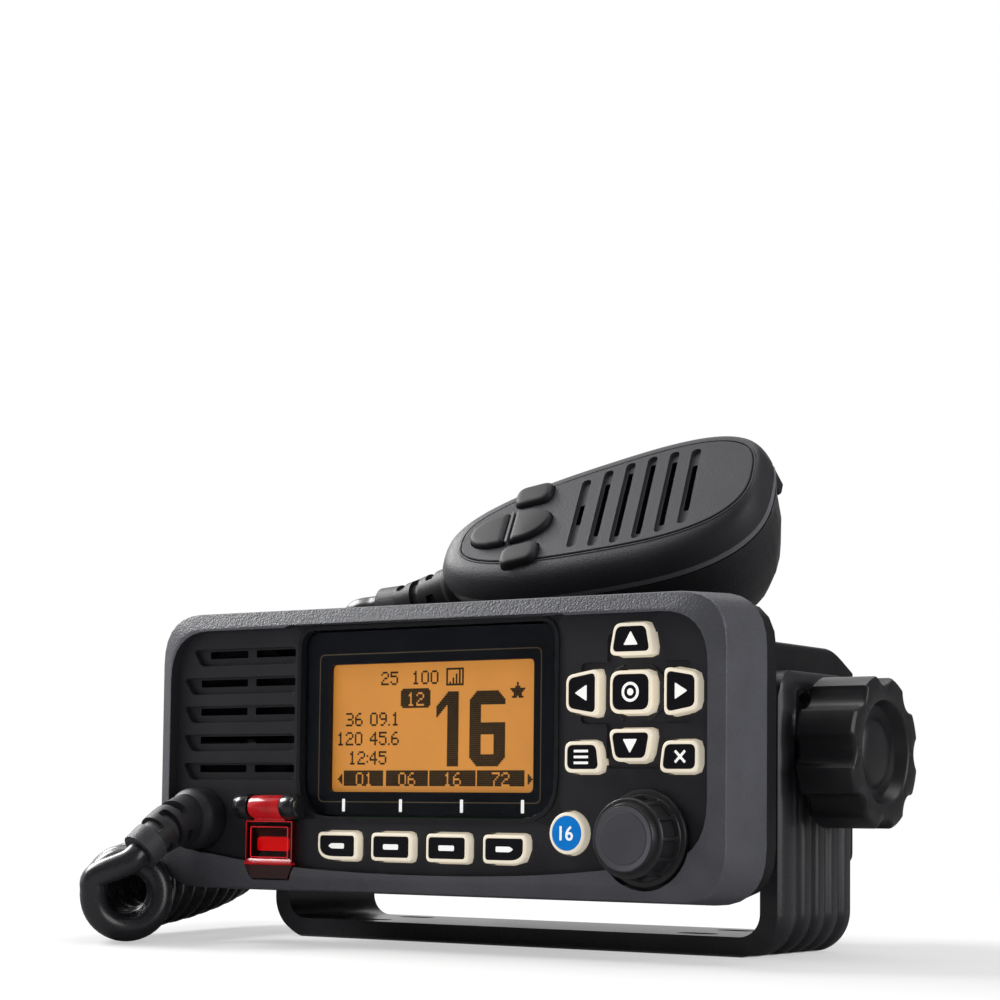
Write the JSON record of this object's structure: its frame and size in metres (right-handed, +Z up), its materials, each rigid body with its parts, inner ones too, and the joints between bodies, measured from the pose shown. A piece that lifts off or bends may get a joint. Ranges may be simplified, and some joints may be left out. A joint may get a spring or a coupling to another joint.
{
  "type": "vhf marine radio",
  "caption": "Fixed-mount marine radio with a display, keypad and round knob, held in a tilting gimbal bracket, with a fist microphone on a curly cord lying on top.",
  "frame": {"origin": "centre of the bracket base's underside", "axes": "+X to the right across the front panel, -Y out of the front panel, +Z up"},
  "size_m": [0.2115, 0.1544, 0.1254],
  "materials": {
    "bezel": "fine grain",
    "black_plastic": "satin",
    "cream_key": "satin",
    "blue_key": "gloss",
    "window": "gloss",
    "amber_display": "satin",
    "red_plastic": "gloss",
    "rubber": "matt",
    "cast_chassis": "matt",
    "mic_plastic": "fine grain",
    "board_green": "satin",
    "steel": "satin",
    "nickel": "bright"
  },
  "bodies": {
    "bracket": {"bracket": "black_plastic", "cord_curls": "rubber"},
    "radio": {"front_panel": "bezel", "panel_gasket": "rubber", "rear_chassis": "cast_chassis", "display_lens": "window", "lcd_panel": "amber_display", "backlight": "cream_key", "keypad_mat": "rubber", "volume_encoder": "steel", "distress_hinge_pin": "steel", "main_board": "board_green", "speaker": "black_plastic", "antenna_socket": "nickel", "power_inlet": "black_plastic", "panel_screw_1": "steel", "panel_screw_2": "steel", "panel_screw_3": "steel", "panel_screw_4": "steel", "cord_gland": "rubber", "cord_lead": "rubber", "cord_tail": "rubber"},
    "washer_left": {"clamp_washer_left": "steel"},
    "knob_left": {"clamp_knob_left": "black_plastic"},
    "washer_right": {"clamp_washer_right": "steel"},
    "knob_right": {"clamp_knob_right": "black_plastic"},
    "key_up": {"key_up": "cream_key"},
    "key_left": {"key_left": "cream_key"},
    "key_enter": {"key_enter": "cream_key"},
    "key_right": {"key_right": "cream_key"},
    "key_down": {"key_down": "cream_key"},
    "key_menu": {"key_menu": "cream_key"},
    "key_clear": {"key_clear": "cream_key"},
    "key_soft_1": {"key_soft_1": "cream_key"},
    "key_soft_2": {"key_soft_2": "cream_key"},
    "key_soft_3": {"key_soft_3": "cream_key"},
    "key_soft_4": {"key_soft_4": "cream_key"},
    "key_sixteen": {"key_sixteen": "blue_key"},
    "distress_key": {"distress_key": "red_plastic"},
    "volume_shaft": {"volume_shaft": "steel"},
    "volume_knob": {"volume_knob": "black_plastic"},
    "distress_cover": {"distress_cover": "red_plastic"},
    "mic": {"mic_front_shell": "mic_plastic", "mic_back_shell": "mic_plastic", "mic_seal_strip": "black_plastic", "mic_boot": "rubber", "mic_board": "board_green", "mic_element": "steel", "mic_hanger_stud": "steel"},
    "mic_key_far": {"mic_key_far": "rubber"},
    "mic_key_near": {"mic_key_near": "rubber"},
    "mic_key_down": {"mic_key_down": "rubber"},
    "mic_key_up": {"mic_key_up": "rubber"},
    "mic_ptt": {"mic_ptt": "black_plastic"}
  },
  "joints": [
    {"name": "tilt", "type": "hinge", "parent": "bracket", "child": "radio", "pos_m": [0, 0, 0.0452], "axis": [1, 0, 0], "range_deg": [-20, 10], "deforming": ["cord_lead", "cord_curls", "cord_tail"]},
    {"name": "clamp_left_travel", "type": "slide", "parent": "radio", "child": "washer_left", "axis": [-1, 0, 0], "range_m": [0, 0.003]},
    {"name": "clamp_left_turn", "type": "hinge", "parent": "washer_left", "child": "knob_left", "pos_m": [-0.08, 0, 0.0452], "axis": [-1, 0, 0], "range_deg": [0, 720]},
    {"name": "clamp_right_travel", "type": "slide", "parent": "radio", "child": "washer_right", "axis": [1, 0, 0], "range_m": [0, 0.003]},
    {"name": "clamp_right_turn", "type": "hinge", "parent": "washer_right", "child": "knob_right", "pos_m": [0.08, 0, 0.0452], "axis": [1, 0, 0], "range_deg": [0, 720]},
    {"name": "key_up_press", "type": "slide", "parent": "radio", "child": "key_up", "axis": [0, 1, 0], "range_m": [0, 0.0006], "stiffness_N_per_m": 1500, "springref_m": -0.0003},
    {"name": "key_left_press", "type": "slide", "parent": "radio", "child": "key_left", "axis": [0, 1, 0], "range_m": [0, 0.0006], "stiffness_N_per_m": 1500, "springref_m": -0.0003},
    {"name": "key_enter_press", "type": "slide", "parent": "radio", "child": "key_enter", "axis": [0, 1, 0], "range_m": [0, 0.0006], "stiffness_N_per_m": 1500, "springref_m": -0.0003},
    {"name": "key_right_press", "type": "slide", "parent": "radio", "child": "key_right", "axis": [0, 1, 0], "range_m": [0, 0.0006], "stiffness_N_per_m": 1500, "springref_m": -0.0003},
    {"name": "key_down_press", "type": "slide", "parent": "radio", "child": "key_down", "axis": [0, 1, 0], "range_m": [0, 0.0006], "stiffness_N_per_m": 1500, "springref_m": -0.0003},
    {"name": "key_menu_press", "type": "slide", "parent": "radio", "child": "key_menu", "axis": [0, 1, 0], "range_m": [0, 0.0006], "stiffness_N_per_m": 1500, "springref_m": -0.0003},
    {"name": "key_clear_press", "type": "slide", "parent": "radio", "child": "key_clear", "axis": [0, 1, 0], "range_m": [0, 0.0006], "stiffness_N_per_m": 1500, "springref_m": -0.0003},
    {"name": "key_soft_1_press", "type": "slide", "parent": "radio", "child": "key_soft_1", "axis": [0, 1, 0], "range_m": [0, 0.0006], "stiffness_N_per_m": 1500, "springref_m": -0.0003},
    {"name": "key_soft_2_press", "type": "slide", "parent": "radio", "child": "key_soft_2", "axis": [0, 1, 0], "range_m": [0, 0.0006], "stiffness_N_per_m": 1500, "springref_m": -0.0003},
    {"name": "key_soft_3_press", "type": "slide", "parent": "radio", "child": "key_soft_3", "axis": [0, 1, 0], "range_m": [0, 0.0006], "stiffness_N_per_m": 1500, "springref_m": -0.0003},
    {"name": "key_soft_4_press", "type": "slide", "parent": "radio", "child": "key_soft_4", "axis": [0, 1, 0], "range_m": [0, 0.0006], "stiffness_N_per_m": 1500, "springref_m": -0.0003},
    {"name": "key_sixteen_press", "type": "slide", "parent": "radio", "child": "key_sixteen", "axis": [0, 1, 0], "range_m": [0, 0.0006], "stiffness_N_per_m": 1500, "springref_m": -0.0003},
    {"name": "distress_key_press", "type": "slide", "parent": "radio", "child": "distress_key", "axis": [0, 1, 0], "range_m": [0, 0.0006], "stiffness_N_per_m": 1500, "springref_m": -0.0003},
    {"name": "volume_press", "type": "slide", "parent": "radio", "child": "volume_shaft", "axis": [0, 1, 0], "range_m": [0, 0.0006], "stiffness_N_per_m": 2000, "springref_m": -0.0003},
    {"name": "volume_turn", "type": "hinge", "parent": "volume_shaft", "child": "volume_knob", "pos_m": [0.0585, -0.057, 0.0261], "axis": [0, -1, 0], "continuous": true},
    {"name": "distress_cover_lift", "type": "hinge", "parent": "radio", "child": "distress_cover", "pos_m": [-0.0422, -0.0546, 0.0319], "axis": [-1, 0, 0], "range_deg": [0, 110], "stiffness_Nm_per_rad": 0.01, "springref_deg": -17.19},
    {"name": "mic_lift", "type": "hinge", "parent": "radio", "child": "mic", "pos_m": [-0.0657, 0.0195, 0.0854], "axis": [0, -1, 0], "range_deg": [0, 45], "deforming": ["cord_tail"]},
    {"name": "mic_key_far_press", "type": "slide", "parent": "mic", "child": "mic_key_far", "axis": [0.0266, 0.7704, -0.637], "range_m": [0, 0.0006], "stiffness_N_per_m": 1500, "springref_m": -0.0003},
    {"name": "mic_key_near_press", "type": "slide", "parent": "mic", "child": "mic_key_near", "axis": [0.0266, 0.7704, -0.637], "range_m": [0, 0.0006], "stiffness_N_per_m": 1500, "springref_m": -0.0003},
    {"name": "mic_key_down_press", "type": "slide", "parent": "mic", "child": "mic_key_down", "axis": [0.0266, 0.7704, -0.637], "range_m": [0, 0.0006], "stiffness_N_per_m": 1500, "springref_m": -0.0003},
    {"name": "mic_key_up_press", "type": "slide", "parent": "mic", "child": "mic_key_up", "axis": [0.0266, 0.7704, -0.637], "range_m": [0, 0.0006], "stiffness_N_per_m": 1500, "springref_m": -0.0003},
    {"name": "mic_ptt_press", "type": "slide", "parent": "mic", "child": "mic_ptt", "axis": [0.2037, -0.628, -0.7511], "range_m": [0, 0.0014], "stiffness_N_per_m": 1500, "springref_m": -0.0004}
  ],
  "couplings": [
    {"joint": "clamp_left_turn", "follows": "clamp_left_travel", "rad_per_m": 4188.8},
    {"joint": "clamp_right_turn", "follows": "clamp_right_travel", "rad_per_m": 4188.8}
  ]
}
